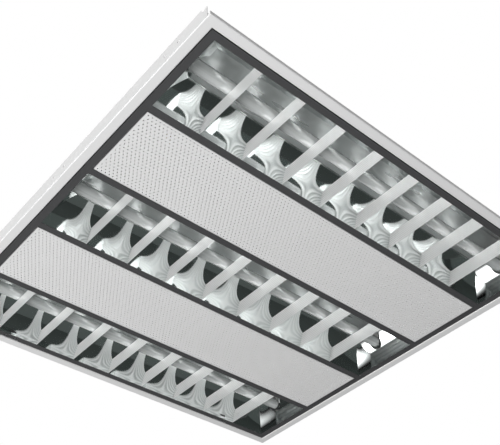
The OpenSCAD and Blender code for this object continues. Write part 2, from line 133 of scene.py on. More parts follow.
# Row, place and side of each long mirror
SIDE_MIRRORS = (("front", "outer", -1), ("front", "inner", 1), ("middle", "front", -1),
                ("middle", "rear", 1), ("rear", "inner", -1), ("rear", "outer", 1))

# Cross blades, and the slots for their tabs and for the release catches
BLADES = 8
BLADE_PITCH = 60.8
BLADE_XS = [(n - (BLADES - 1) / 2) * BLADE_PITCH for n in range(BLADES)]
BLADE_LOW = 0.6
BLADE_HIGH = 21.2
BLADE_T = 0.5
BLADE_GAP = 0.2
RIBS = 7
RIB_DEPTH = 0.30
RIB_STEPS = 8
TAB_LEFT = -0.10
TAB_RIGHT = 0.40
TAB_ZS = (3.6, 12.6)
TAB_HIGH = 4.0
TAB_ROOT = 3
TAB_PROUD = 1.6
SLOT_SPARE_X = 0.37
SLOT_SPARE_Z = 0.22
CATCH_X = 191.0
CATCH_HALF = 5
CATCH_LOW = 5.0
CATCH_HIGH = 7.4

# Perforated panels
PANEL_Y = ROW_PITCH / 2
PANEL_Z = 0.4
PANEL_HALF_X = CELL_END - 0.15
PANEL_HALF_Y = 52.55
PANEL_HIGH = 8.0
HOLE_PITCH = 5.1
HOLE_ROW = 4.417
HOLE_R = 0.82
HOLE_STEPS = 12
HOLES_ALONG = 107
HOLE_ROWS = 23

# Half sizes of the field that the holes cover
FIELD_X = HOLE_PITCH * (HOLES_ALONG + 0.5) / 2
FIELD_Y = HOLE_ROW * HOLE_ROWS / 2

# Lamps: each outline gives distances outwards and radii
LAMP_Z = 30.0
LAMP_END = 274.5
LAMP_R = 8.0
CAP_LONG = 8.5
CAP_R = LAMP_R + 0.25
TUBE_END = [(0, 0), (0, 5.2), (0.5, 6.8), (1.4, 7.6), (3.0, LAMP_R)]
CAP_OUTLINE = [(0.2, 7.2), (0, 8.1), (0.3, CAP_R), (1.1, CAP_R), (1.4, LAMP_R), (1.9, LAMP_R), (2.2, CAP_R),
               (6.4, CAP_R), (7.4, 7.95), (8.1, 7.3), (CAP_LONG, 6.4), (CAP_LONG, 4.2), (8.2, 3.9), (8.2, 0)]
PIN_Y = 2.375
PIN_R = 1.18
PIN_ROOT = 1
PIN_LONG = 7.0
PIN_TIP_LONG = 0.4
PIN_TIP_R = 0.8
PIN_STEPS = 24

# Notch in an end mirror, clear of the lamp's cap
NOTCH_R = CAP_R + 2.2
NOTCH_LOW = LAMP_Z - 0.5
NOTCH_TOP = 50
NOTCH_Y = 230
NOTCH_DEEP = 60
NOTCH_SPARE = 4
NOTCH_LEAN = 1
BORE_PAST = 2

# The mirrors' section is an arc from the foot to the leaning top edge
RISE = MIRROR_TOP - TRAY_TOP
CHORD = math.hypot(MIRROR_LEAN, RISE)
MIRROR_R = CHORD / (2 * math.sin(math.atan(MIRROR_LEAN / RISE) - FOOT_ANGLE))
ARC_IN = MIRROR_R * math.cos(FOOT_ANGLE)
ARC_Z = TRAY_TOP - MIRROR_R * math.sin(FOOT_ANGLE)

# Points and planes that say where a wall thickens and where a sheet is mitred
MITRE_PLANES = [((0, 0, 0), (side, -1, 0)) for side in SIDES]
ABOVE_FLANGE = (0, WALL + 4, 400)
ABOVE_ROOF = (0, 0, 400)
BELOW_ARCH = (0, 0, -400)
BEHIND_MIRROR = (0, 400, 80)


def arc_angle(z):
    """Angle on the mirror's arc at height z."""
    return math.asin((z - ARC_Z) / MIRROR_R)


def mirror_y(z):
    """Distance of the mirror's face from the row's middle at height z."""
    return CELL_HALF - ARC_IN + math.sqrt(MIRROR_R ** 2 - (z - ARC_Z) ** 2)


# Materials: a wave texture of scale 1 turns by WAVE_TURN radians a metre
WAVE_TURN = 20
# How far the metallic value swings with the blades' ribs, and how much the ribs' painted shade sets their
# colour
RIB_METAL_SWING = 0.2
RIB_PAINTED_SHADE = 0.8
COAT_ROUGH = 0.08
LAMP_COAT_ROUGH = 0.04
LAMP_COAT_IOR = 2.1


def noise(tree, vector, scale):
    """A soft pattern of patches."""
    node = tree.nodes.new("ShaderNodeTexNoise")
    node.inputs["Scale"].default_value = scale
    node.inputs["Detail"].default_value = 3.0
    tree.links.new(vector, node.inputs["Vector"])
    return node.outputs["Fac"]


def ranged(tree, value, low, high, start=0.0, end=1.0):
    """A value that runs from low to high while another runs from start to end."""
    node = tree.nodes.new("ShaderNodeMapRange")
    node.inputs["From Min"].default_value = start
    node.inputs["From Max"].default_value = end
    node.inputs["To Min"].default_value = low
    node.inputs["To Max"].default_value = high
    tree.links.new(value, node.inputs["Value"])
    return node.outputs["Result"]


def worked_out(tree, operation, first, second=0.0):
    """The result of one sum, whose second value is a number or another result."""
    node = tree.nodes.new("ShaderNodeMath")
    node.operation = operation
    tree.links.new(first, node.inputs[0])
    if isinstance(second, bpy.types.NodeSocket):
        tree.links.new(second, node.inputs[1])
    else:
        node.inputs[1].default_value = second
    return node.outputs[0]


def finish_of(name, colour, second, patch, grain, depth, rough, metal=0.0, stretch=(1, 1, 1),
              rough_spread=0.05, coat=0.0, ribs=None):
    """A painted, moulded or metal finish: two colours in patches, which are close ones unless they paint
    shade, and a fine grain.

    Patch and grain say how fine the two patterns are, stretch draws them out along an axis, and depth is the
    grain's height in metres. Ribs gives the height of one rolled rib and of the first rib's foot, in metres:
    the second colour then follows the ribs as painted shade on one flank of each rib, and the metal is more
    metallic on that flank.
    """
    material = bpy.data.materials.new(name)
    material.use_nodes = True
    tree = material.node_tree
    shader = tree.nodes["Principled BSDF"]
    place = tree.nodes.new("ShaderNodeTexCoord")
    mapping = tree.nodes.new("ShaderNodeMapping")
    mapping.inputs["Scale"].default_value = stretch
    tree.links.new(place.outputs["Object"], mapping.inputs["Vector"])
    vector = mapping.outputs["Vector"]
    shader.inputs["Metallic"].default_value = metal
    patches = noise(tree, vector, patch)
    if ribs:
        rib, foot = ribs
        turn = 2 * math.pi / rib
        rolled = tree.nodes.new("ShaderNodeTexWave")
        rolled.bands_direction = "Z"
        rolled.inputs["Scale"].default_value = turn / WAVE_TURN
        rolled.inputs["Phase Offset"].default_value = math.pi / 2 - turn * foot
        tree.links.new(place.outputs["Object"], rolled.inputs["Vector"])
        # Painted shade: the rib wave darkens one flank of each rib and makes that flank more metallic
        rib_metal = ranged(tree, rolled.outputs["Fac"], metal - RIB_METAL_SWING, metal + RIB_METAL_SWING)
        tree.links.new(rib_metal, shader.inputs["Metallic"])
        shade = tree.nodes.new("ShaderNodeMix")
        shade.inputs["Factor"].default_value = RIB_PAINTED_SHADE
        tree.links.new(patches, shade.inputs["A"])
        tree.links.new(rolled.outputs["Fac"], shade.inputs["B"])
        patches = shade.outputs["Result"]
    mix = tree.nodes.new("ShaderNodeMix")
    mix.data_type = "RGBA"
    mix.inputs["A"].default_value = (*colour, 1)
    mix.inputs["B"].default_value = (*second, 1)
    tree.links.new(patches, mix.inputs["Factor"])
    tree.links.new(mix.outputs["Result"], shader.inputs["Base Color"])
    grains = noise(tree, vector, grain)
    uneven = ranged(tree, grains, rough - rough_spread, rough + rough_spread)
    tree.links.new(uneven, shader.inputs["Roughness"])
    bump = tree.nodes.new("ShaderNodeBump")
    bump.inputs["Strength"].default_value = 1.0
    bump.inputs["Distance"].default_value = depth
    tree.links.new(grains, bump.inputs["Height"])
    tree.links.new(bump.outputs["Normal"], shader.inputs["Normal"])
    shader.inputs["Coat Weight"].default_value = coat
    shader.inputs["Coat Roughness"].default_value = COAT_ROUGH
    return material


white_paint = finish_of("white_powder_coat", (0.76, 0.76, 0.76), (0.73, 0.73, 0.73),
                        patch=12, grain=900, depth=0.00002, rough=0.42)
panel_paint = finish_of("perforated_white", (0.76, 0.76, 0.76), (0.73, 0.73, 0.73),
                        patch=9, grain=900, depth=0.00002, rough=0.45)
dark_paint = finish_of("dark_grey_paint", (0.070, 0.070, 0.072), (0.058, 0.058, 0.060),
                       patch=30, grain=1200, depth=0.00002, rough=0.45)
arch_metal = finish_of("satin_reflector", (0.88, 0.90, 0.895), (0.66, 0.69, 0.685),
                       patch=22, grain=60, depth=0.000005, rough=0.29, metal=0.65, stretch=(0.15, 1, 1))
mirror_metal = finish_of("mirror_aluminium", (0.88, 0.90, 0.895), (0.85, 0.88, 0.875),
                         patch=14, grain=90, depth=0.000005, rough=0.05, metal=1.0, stretch=(0.06, 1, 1),
                         rough_spread=0.02)
# The blades' darker second colour lies along the ribs as painted shade, one flank of each rib darker
blade_metal = finish_of("satin_aluminium", (0.99, 0.995, 0.99), (0.82, 0.835, 0.83),
                        patch=200, grain=900, depth=0.000006, rough=0.44, metal=0.62, stretch=(1, 0.02, 1),
                        ribs=((BLADE_HIGH - BLADE_LOW) / RIBS * MM, BLADE_LOW * MM))
holder_plastic = finish_of("holder_white", (0.80, 0.80, 0.78), (0.76, 0.76, 0.74),
                           patch=60, grain=700, depth=0.00001, rough=0.35)
gear_paint = finish_of("gear_case", (0.74, 0.74, 0.73), (0.70, 0.70, 0.69),
                       patch=30, grain=900, depth=0.00001, rough=0.40)
# The lamp's dark second colour, drawn out along the tube, is painted shade: streaks that stand in for the
# shadows and reflections of the blades and mirrors on the glass
lamp_white = finish_of("lamp_glass", (0.74, 0.76, 0.755), (0.34, 0.36, 0.355),
                       patch=260, grain=200, depth=0.000004, rough=0.14, stretch=(0.03, 1, 1),
                       rough_spread=0.02, coat=1.0)
lamp_shader = lamp_white.node_tree.nodes["Principled BSDF"]
lamp_shader.inputs["Coat IOR"].default_value = LAMP_COAT_IOR
lamp_shader.inputs["Coat Roughness"].default_value = LAMP_COAT_ROUGH
cap_metal = finish_of("cap_metal", (0.80, 0.80, 0.80), (0.70, 0.71, 0.71),
                      patch=90, grain=500, depth=0.00001, rough=0.26, metal=1.0, stretch=(1, 0.2, 0.2))
zinc = finish_of("zinc_steel", (0.62, 0.63, 0.64), (0.50, 0.51, 0.53),
                 patch=160, grain=900, depth=0.00001, rough=0.34, metal=1.0)
brass = finish_of("brass", (0.78, 0.60, 0.30), (0.66, 0.49, 0.23),
                  patch=200, grain=900, depth=0.00001, rough=0.30, metal=1.0)
rubber = finish_of("grommet_rubber", (0.030, 0.030, 0.031), (0.024, 0.024, 0.025),
                   patch=120, grain=1500, depth=0.00003, rough=0.62)


# Helpers for meshes
def verts_of(geom):
    """The vertices among what an operator made."""
    return [v for v in geom if isinstance(v, bmesh.types.BMVert)]


def upright_edges(bm):
    """The edges that rise by more than a millimetre."""
    return [e for e in bm.edges if abs(e.verts[0].co.z - e.verts[1].co.z) > 1]


def as_object(name, bm, material):
    """Turns a bmesh into an object of the scene."""
    mesh = bpy.data.meshes.new(name)
    bm.to_mesh(mesh)
    bm.free()
    mesh.materials.append(material)
    thing = bpy.data.objects.new(name, mesh)
    scene.collection.objects.link(thing)
    return thing


def make_piece(bm, node, made, material, body, smooth=30.0):
    """Turns a bmesh in millimetres into a piece in metres that stands for a node and rides on a body."""
    bmesh.ops.scale(bm, vec=(MM, MM, MM), verts=bm.verts)
    piece = as_object(f"{node}_{made}", bm, material)
    piece.data.shade_smooth()
    piece.data.set_sharp_from_angle(angle=math.radians(smooth))
    weighted = piece.modifiers.new("face_weighted", "WEIGHTED_NORMAL")
    weighted.keep_sharp = True
    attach(piece, body)
    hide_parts(node)


def joined(parts):
    """One bmesh from several."""
    whole = bmesh.new()
    for part in parts:
        mesh = bpy.data.meshes.new("part")
        part.to_mesh(mesh)
        part.free()
        whole.from_mesh(mesh)
        bpy.data.meshes.remove(mesh)
    return whole


def box(corner, opposite):
    """A box between two opposite corners, in any order."""
    low = Vector([min(pair) for pair in zip(corner, opposite)])
    high = Vector([max(pair) for pair in zip(corner, opposite)])
    bm = bmesh.new()
    bmesh.ops.create_cube(bm, size=1)
    bmesh.ops.scale(bm, vec=high - low, verts=bm.verts)
    return moved(bm, (low + high) / 2)


def cylinder(radius, start, end, segments, end_radius=None):
    """A closed cylinder or cone between two points."""
    start, end = Vector(start), Vector(end)
    bm = bmesh.new()
    bmesh.ops.create_cone(bm, cap_ends=True, segments=segments, radius1=radius,
                          radius2=radius if end_radius is None else end_radius,
                          depth=(end - start).length)
    turn = (end - start).to_track_quat("Z", "Y").to_matrix().to_4x4()
    bmesh.ops.transform(bm, matrix=Matrix.Translation((start + end) / 2) @ turn, verts=bm.verts)
    return bm


def rounded(bm, edges, radius, segments):
    """Rounds some of a shape's edges."""
    bmesh.ops.bevel(bm, geom=edges, offset=radius, offset_type="OFFSET", segments=segments,
                    profile=0.5, affect="EDGES", material=-1, clamp_overlap=True)
    return bm


def cut_away(bm, cutters):
    """What is left of a closed shape when other closed shapes are taken from it."""
    objects = []
    for n, shape in enumerate([bm, joined(cutters)]):
        mesh = bpy.data.meshes.new(f"cut_{n}")
        shape.to_mesh(mesh)
        shape.free()
        objects.append(bpy.data.objects.new(f"cut_{n}", mesh))
        scene.collection.objects.link(objects[-1])
    tool = objects[0].modifiers.new("cut", "BOOLEAN")
    tool.operation = "DIFFERENCE"
    tool.solver = "EXACT"
    tool.use_self = True
    tool.object = objects[1]
    depsgraph = bpy.context.evaluated_depsgraph_get()
    mesh = bpy.data.meshes.new_from_object(objects[0].evaluated_get(depsgraph))
    left = bmesh.new()
    left.from_mesh(mesh)
    bpy.data.meshes.remove(mesh)
    for thing in objects:
        data = thing.data
        bpy.data.objects.remove(thing)
        bpy.data.meshes.remove(data)
    return left


def drawn_out(bm, edges, vec):
    """Extrudes edges into faces along a vector."""
    made = bmesh.ops.extrude_edge_only(bm, edges=edges)["geom"]
    bmesh.ops.translate(bm, vec=vec, verts=verts_of(made))


def folded_sheet(section, length, bends):
    """A sheet along X whose section in Y and Z has rounded bends, one radius a corner."""
    bm = bmesh.new()
    corners = [bm.verts.new((-length / 2, y, z)) for y, z in section]
    edges = [bm.edges.new(pair) for pair in zip(corners, corners[1:])]
    drawn_out(bm, edges, (length, 0, 0))
    for corner, radius in zip(section[1:-1], bends):
        fold = [e for e in bm.edges if e.is_manifold
                and all((Vector(corner) - v.co.yz).length < NEAR for v in e.verts)]
        rounded(bm, fold, radius, segments=5)
    return bm


def trimmed(bm, planes):
    """Cuts a sheet by planes, each a point and the direction of what is dropped."""
    for point, away in planes:
        geom = bm.verts[:] + bm.edges[:] + bm.faces[:]
        bmesh.ops.bisect_plane(bm, geom=geom, dist=1e-5, plane_co=point, plane_no=away, clear_outer=True)
    return bm


def thickened(bm, thickness, towards):
    """Gives a sheet its wall on the side where the point towards lies."""
    bmesh.ops.recalc_face_normals(bm, faces=bm.faces)
    biggest = max(bm.faces, key=lambda f: f.calc_area())
    faces_point = biggest.normal.dot(Vector(towards) - biggest.calc_center_median()) > 0
    bmesh.ops.solidify(bm, geom=bm.faces[:], thickness=-thickness if faces_point else thickness)
    bmesh.ops.recalc_face_normals(bm, faces=bm.faces)
    return bm


def turned(bm, degrees):
    """Turns a shape about the vertical axis."""
    turn = Matrix.Rotation(math.radians(degrees), 3, "Z")
    bmesh.ops.rotate(bm, cent=(0, 0, 0), matrix=turn, verts=bm.verts)
    return bm


def moved(bm, vec):
    """Moves a shape."""
    bmesh.ops.translate(bm, vec=vec, verts=bm.verts)
    return bm


def mirrored(bm, flip):
    """Mirrors a shape by a scale such as (1, -1, 1), with its faces still pointing outwards."""
    bmesh.ops.scale(bm, vec=flip, verts=bm.verts)
    bmesh.ops.reverse_faces(bm, faces=bm.faces)
    return bm


def softened(node, edge, made, material, body):
    """A copy of a CAD node with its sharp edges rounded, which stands for the node."""
    bm = bmesh.new()
    bm.from_mesh(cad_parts[node].data)
    bmesh.ops.scale(bm, vec=(1 / MM,) * 3, verts=bm.verts)
    bmesh.ops.remove_doubles(bm, verts=bm.verts, dist=MERGE)
    bmesh.ops.dissolve_limit(bm, angle_limit=FLAT_ANGLE, verts=bm.verts, edges=bm.edges)
    sharp = [e for e in bm.edges if e.is_manifold and e.calc_face_angle(0) > SHARP_ANGLE]
    rounded(bm, sharp, edge, segments=2)
    make_piece(bm, node, made, material, body)


# Housing
def housing_tray():
    """Flanges with folded lips, leaning walls and the beaded roof."""
    parts = []
    flange = [(FACE_HALF, LIP_TOP), (FACE_HALF, 0), (WALL, 0), (WALL, WALL_FOOT)]
    for degrees in (180, 0):
        rail = folded_sheet(flange, SHEET_LONG, [BEND, BEND])
        trimmed(rail, MITRE_PLANES)
        thickened(rail, STEEL, ABOVE_FLANGE)
        parts.append(turned(rail, degrees))
    roof = [(-WALL, WALL_FOOT), (-ROOF_Y, ROOF_IN), (ROOF_Y, ROOF_IN), (WALL, WALL_FOOT)]
    hat = folded_sheet(roof, 2 * FACE_HALF, [ROOF_BEND, ROOF_BEND])
    rise, run = ROOF_OUT - WALL_FOOT, WALL - ROOF_X
    trimmed(hat, [((side * WALL, 0, WALL_FOOT), (side * rise, 0, run)) for side in SIDES])
    thickened(hat, STEEL, ABOVE_ROOF)
    holes = []
    for x in SUSPENSION_XS:
        for y in SUSPENSION_YS:
            hole = box((x - SUSPENSION_LONG, y - SUSPENSION_WIDE, DRILL_LOW),
                       (x + SUSPENSION_LONG, y + SUSPENSION_WIDE, DRILL_HIGH))
            holes.append(rounded(hole, upright_edges(hole), SUSPENSION_CORNER, segments=8))
    holes.append(cylinder(CABLE_R, (CABLE_X, -PANEL_Y, DRILL_LOW), (CABLE_X, -PANEL_Y, DRILL_HIGH),
                          ROUND_STEPS))
    parts.append(cut_away(hat, holes))
    for y in BEAD_YS:
        bead = box((-BEAD_LONG, y - BEAD_WIDE, ROOF_IN + BEAD_SUNK),
                   (BEAD_LONG, y + BEAD_WIDE, ROOF_OUT + BEAD_HIGH))
        rounded(bead, upright_edges(bead), BEAD_CORNER, segments=10)
        top = [e for e in bead.edges if all(v.co.z > ROOF_OUT + BEAD_HIGH - NEAR for v in e.verts)]
        parts.append(rounded(bead, top, BEND, segments=4))
    make_piece(joined(parts), "housing_tray", "folded", white_paint, "housing")


def end_plate(end):
    """End flange with its tall upstand and paired holes, leaning wall and roof tab."""
    section = [(FACE_HALF, UPSTAND_TOP), (FACE_HALF, 0), (WALL, 0), (WALL, WALL_FOOT),
               (ROOF_X, ROOF_OUT), (ROOF_X - ROOF_TAB, ROOF_OUT)]
    sheet = folded_sheet(section, SHEET_LONG, [BEND, BEND, ROOF_BEND, TAB_BEND])
    trimmed(sheet, MITRE_PLANES)
    thickened(sheet, STEEL, ABOVE_FLANGE)
    lean = Matrix.Rotation(-math.atan2(WALL - ROOF_Y, ROOF_OUT - WALL_FOOT), 3, "Y")
    cutters = []
    for side in SIDES:
        notch = box((side * UPSTAND_END, FACE_HALF - UPSTAND_CUT, UPSTAND_CUT_LOW),
                    (side * PAST_X, PAST_Y, PAST_Z))
        wedge = box((0, WEDGE_IN, 0), (WEDGE_WIDE, PAST_Y, WEDGE_HIGH))
        bmesh.ops.rotate(wedge, cent=(0, 0, 0), matrix=lean, verts=wedge.verts)
        moved(wedge, (WALL + STEEL, 0, WALL_FOOT))
        cutters += [notch, wedge if side > 0 else mirrored(wedge, (-1, 1, 1))]
    for pair in FIXING_PAIRS:
        for x in (pair - FIXING_HALF, pair + FIXING_HALF):
            cutters.append(cylinder(FIXING_R, (x, FIXING_IN, FIXING_Z), (x, FIXING_OUT, FIXING_Z),
                                    segments=20))
    plate = turned(cut_away(sheet, cutters), -90 * ENDS[end])
    make_piece(plate, f"end_plate_{end}", "folded", white_paint, "housing")


# Mirrors
def curved_sheet(length, foot_at, stops, cuts):
    """A mirror's curved face along X, rising in stops and divided by cuts, before it has a thickness."""
    bm = bmesh.new()
    ends = [bm.verts.new((x, foot_at, TRAY_TOP)) for x in (-length / 2, length / 2)]
    bm.edges.new(ends)
    for x in cuts:
        geom = bm.verts[:] + bm.edges[:]
        bmesh.ops.bisect_plane(bm, geom=geom, plane_co=(x, 0, 0), plane_no=(1, 0, 0))
    edge, low = bm.edges[:], TRAY_TOP
    for high in stops:
        angle = arc_angle(high) - arc_angle(low)
        steps = max(1, round(angle / ARC_STEP))
        made = bmesh.ops.spin(bm, geom=edge, cent=(0, foot_at - ARC_IN, ARC_Z), axis=(1, 0, 0),
                              angle=angle, steps=steps, use_merge=False, use_duplicate=False)
        edge, low = [e for e in made["geom_last"] if isinstance(e, bmesh.types.BMEdge)], high
    return bm


def add_foot(bm):
    """Folds a flat foot outwards from a mirror's lower edge."""
    foot = [e for e in bm.edges
            if e.is_boundary and all(abs(v.co.z - TRAY_TOP) < TOUCH for v in e.verts)]
    drawn_out(bm, foot, (0, FOOT_WIDE, FOOT_RISE))


def slotted(bm, windows):
    """Drops the faces whose middle lies in a window given as x and z ranges."""
    inside = [f for f in bm.faces
              if any(x0 < f.calc_center_median().x < x1 and z0 < f.calc_center_median().z < z1
                     for x0, x1, z0, z1 in windows)]
    bmesh.ops.delete(bm, geom=inside, context="FACES")
    return bm


def side_mirror(row, place, side):
    """Long mirror of a row on its front (-1) or rear (1) side, slotted for the blades' tabs.

    The two outer ones also have a release slot near each end.
    """
    windows = []
    for x in BLADE_XS:
        for z in TAB_ZS:
            windows.append((x + TAB_LEFT - SLOT_SPARE_X, x + TAB_RIGHT + SLOT_SPARE_X,
                            z - SLOT_SPARE_Z, z + TAB_HIGH + SLOT_SPARE_Z))
    if place == "outer":
        for x in (-CATCH_X, CATCH_X):
            windows.append((x - CATCH_HALF, x + CATCH_HALF, CATCH_LOW, CATCH_HIGH))
    # The sheet is divided along the slots' edges, so that whole faces drop out
    cuts = sorted({x for w in windows for x in w[:2]})
    stops = sorted({z for w in windows for z in w[2:]} | {MIRROR_TOP})
    bm = slotted(curved_sheet(SIDE_SHEET_LONG, CELL_HALF, stops, cuts), windows)
    add_foot(bm)
    corner = CELL_END - CELL_HALF - MITRE_GAP
    trimmed(bm, [((s * corner, 0, 0), (s, -1, 0)) for s in SIDES])
    thickened(bm, ALU, BEHIND_MIRROR)
    if side < 0:
        mirrored(bm, (1, -1, 1))
    moved(bm, (0, ROWS[row], 0))
    make_piece(bm, f"side_mirror_{row}_{place}", "rolled", mirror_metal, "louvre")


def lamp_shift(y):
    """How far a lamp moves sideways in the tray while it rises past the mirrors' top edge."""
    run = HINGE_Y - y
    return run - math.sqrt(run ** 2 + (LAMP_Z - HINGE_Z) ** 2 - (MIRROR_TOP - HINGE_Z) ** 2)


def lamp_notch(row, end):
    """Shapes to cut from an end mirror, so that it clears the lamp's cap at rest and as the tray swings."""
    out = ENDS[end]
    swing = lamp_shift(ROWS[row]) + NOTCH_SPARE
    notch = bmesh.new()
    corners = [(out * NOTCH_R, NOTCH_LOW), (-out * NOTCH_R, NOTCH_LOW),
               (-out * (NOTCH_R + swing), NOTCH_TOP), (out * (NOTCH_R + NOTCH_LEAN), NOTCH_TOP)]
    notch.faces.new([notch.verts.new((x, NOTCH_Y, z)) for x, z in corners])
    made = bmesh.ops.extrude_face_region(notch, geom=notch.faces[:])["geom"]
    bmesh.ops.translate(notch, vec=(0, NOTCH_DEEP, 0), verts=verts_of(made))
    bmesh.ops.recalc_face_normals(notch, faces=notch.faces)
    bore = cylinder(NOTCH_R, (0, NOTCH_Y - BORE_PAST, NOTCH_LOW),
                    (0, NOTCH_Y + NOTCH_DEEP + BORE_PAST, NOTCH_LOW),
                    ROUND_STEPS)
    return [notch, bore]


def end_mirror(row, end):
    """Short mirror at a row's end, mitred to the long ones and notched for the lamp."""
    bm = curved_sheet(END_SHEET_LONG, CELL_END, [MIRROR_TOP], [])
    add_foot(bm)
    corner = CELL_END - CELL_HALF + MITRE_GAP
    trimmed(bm, [((0, corner, 0), (s, -1, 0)) for s in SIDES])
    thickened(bm, ALU, BEHIND_MIRROR)
    bm = turned(cut_away(bm, lamp_notch(row, end)), -90 * ENDS[end])
    moved(bm, (0, ROWS[row], 0))
    make_piece(bm, f"end_mirror_{row}_{end}", "rolled", mirror_metal, "louvre")


def lamp_reflector(row):
    """Arched mirror above one lamp."""
    half = CELL_HALF - MIRROR_LEAN + ARCH_WIDER
    rise = ROOF_IN - MIRROR_TOP - ARCH_GAP
    radius = (half ** 2 + rise ** 2) / (2 * rise)
    bm = bmesh.new()
    ends = [bm.verts.new((s * ARCH_HALF_LONG, half, MIRROR_TOP + ARCH_GAP)) for s in SIDES]
    start = bm.edges.new(ends)
    bmesh.ops.spin(bm, geom=[start], cent=(0, 0, ROOF_IN - radius), axis=(1, 0, 0),
                   angle=2 * math.asin(half / radius), steps=ARCH_STEPS, use_merge=False, use_duplicate=False)
    thickened(bm, ALU, BELOW_ARCH)
    moved(bm, (0, ROWS[row], 0))
    make_piece(bm, f"lamp_reflector_{row}", "rolled", arch_metal, "housing")


# Cross blades
def cross_blades(row):
    """Eight ribbed blades whose ends follow the mirrors, each with four tabs."""
    parts = []
    for x in BLADE_XS:
        blade = bmesh.new()
        bmesh.ops.create_grid(blade, x_segments=1, y_segments=RIBS * RIB_STEPS, size=0.5)
        for v in blade.verts:
            up = v.co.y + 0.5
            z = BLADE_LOW + up * (BLADE_HIGH - BLADE_LOW)
            wave = RIB_DEPTH / 2 * (1 - math.cos(2 * math.pi * RIBS * up))
            v.co = (x - BLADE_T / 2 + wave, math.copysign(mirror_y(z) - BLADE_GAP, v.co.x), z)
        bmesh.ops.solidify(blade, geom=blade.faces[:], thickness=-BLADE_T)
        bmesh.ops.recalc_face_normals(blade, faces=blade.faces)
        parts.append(blade)
        for side in SIDES:
            for z in TAB_ZS:
                root, tip = mirror_y(z + TAB_HIGH) - TAB_ROOT, mirror_y(z) + ALU + TAB_PROUD
                parts.append(box((x + TAB_LEFT, side * root, z), (x + TAB_RIGHT, side * tip, z + TAB_HIGH)))
    bm = moved(joined(parts), (0, ROWS[row], 0))
    make_piece(bm, f"cross_blades_{row}", "ribbed", blade_metal, "louvre", smooth=50)


# Perforated panels
def hole_tile():
    """One hole in its piece of sheet, with the wall of the hole."""
    bm = bmesh.new()
    bmesh.ops.create_circle(bm, segments=HOLE_STEPS, radius=HOLE_R)
    hole = bm.edges[:]
    half_x, half_y = HOLE_PITCH / 2, HOLE_ROW / 2
    corners = [(0, -half_y), (half_x, -half_y), (half_x, half_y),
               (0, half_y), (-half_x, half_y), (-half_x, -half_y)]
    outer = [bm.verts.new((x, y, 0)) for x, y in corners]
    rim = [bm.edges.new(pair) for pair in zip(outer, outer[1:] + outer[:1])]
    bmesh.ops.bridge_loops(bm, edges=hole + rim)
    drawn_out(bm, hole, (0, 0, STEEL))
    return bm


def copied(bm, geom, vec):
    """Copies some of a bmesh to another place in it."""
    copy = bmesh.ops.duplicate(bm, geom=geom)["geom"]
    bmesh.ops.translate(bm, vec=vec, verts=verts_of(copy))
    return copy


def repeated(bm, count, step):
    """Lays copies of a bmesh in a line: by doubling as far as it goes, then one by one."""
    tile = bm.verts[:] + bm.edges[:] + bm.faces[:]
    line, made = tile[:], 1
    while 2 * made <= count:
        line += copied(bm, line[:], Vector(step) * made)
        made *= 2
    for n in range(made, count):
        copied(bm, tile, Vector(step) * n)
    return bm


def add_sheet(bm, x0, x1, y0, y1):
    """Adds a plain stretch of a panel's sheet."""
    corners = ((x0, y0), (x1, y0), (x1, y1), (x0, y1))
    bm.faces.new([bm.verts.new((x, y, 0)) for x, y in corners])


def hole_field():
    """Staggered rows of holes, each made up to the full length by half a tile of plain sheet."""
    half_tile = HOLE_PITCH / 2
    strip = repeated(hole_tile(), HOLES_ALONG, (HOLE_PITCH, 0, 0))
    moved(strip, (half_tile - FIELD_X, HOLE_ROW / 2 - FIELD_Y, 0))
    strip_mesh = bpy.data.meshes.new("strip")
    strip.to_mesh(strip_mesh)
    strip.free()
    bm = bmesh.new()
    for n in range(HOLE_ROWS):
        before = set(bm.verts)
        bm.from_mesh(strip_mesh)
        new = [v for v in bm.verts if v not in before]
        bmesh.ops.translate(bm, vec=(half_tile * (n % 2), n * HOLE_ROW, 0), verts=new)
        plain_x = -FIELD_X if n % 2 else FIELD_X - half_tile
        row_y = n * HOLE_ROW - FIELD_Y
        add_sheet(bm, plain_x, plain_x + half_tile, row_y, row_y + HOLE_ROW)
    bpy.data.meshes.remove(strip_mesh)
    return bm


def perforated_panel(place, panel_y):
    """White pan between two rows: the field of holes, a plain border and four upright edges."""
    bm = hole_field()
    add_sheet(bm, -PANEL_HALF_X, PANEL_HALF_X, -PANEL_HALF_Y, -FIELD_Y)
    add_sheet(bm, -PANEL_HALF_X, PANEL_HALF_X, FIELD_Y, PANEL_HALF_Y)
    add_sheet(bm, -PANEL_HALF_X, -FIELD_X, -FIELD_Y, FIELD_Y)
    add_sheet(bm, FIELD_X, PANEL_HALF_X, -FIELD_Y, FIELD_Y)
    bmesh.ops.remove_doubles(bm, verts=bm.verts, dist=NEAR)
    parts = [bm]
    for side in SIDES:
        parts.append(box((-PANEL_HALF_X, side * PANEL_HALF_Y, 0),
                         (PANEL_HALF_X, side * (PANEL_HALF_Y - STEEL), PANEL_HIGH)))
        parts.append(box((side * PANEL_HALF_X, -PANEL_HALF_Y, 0),
                         (side * (PANEL_HALF_X - STEEL), PANEL_HALF_Y, PANEL_HIGH)))
    whole = moved(joined(parts), (0, panel_y, PANEL_Z))
    make_piece(whole, f"perforated_panel_{place}", "punched", panel_paint, "louvre")


# Lamps
def lathe(outline, at_x, row, out):
    """A turned part round a lamp's axis, whose outline runs outwards from at_x."""
    bm = bmesh.new()
    points = [bm.verts.new((at_x + out * x, 0, radius)) for x, radius in outline]
    for pair in zip(points, points[1:]):
        bm.edges.new(pair)
    bmesh.ops.spin(bm, geom=bm.edges[:], cent=(0, 0, 0), axis=(1, 0, 0), angle=2 * math.pi,
                   steps=ROUND_STEPS, use_merge=True, use_duplicate=False)
    bmesh.ops.remove_doubles(bm, verts=bm.verts, dist=TOUCH)
    bmesh.ops.recalc_face_normals(bm, faces=bm.faces)
    return moved(bm, (0, ROWS[row], LAMP_Z))


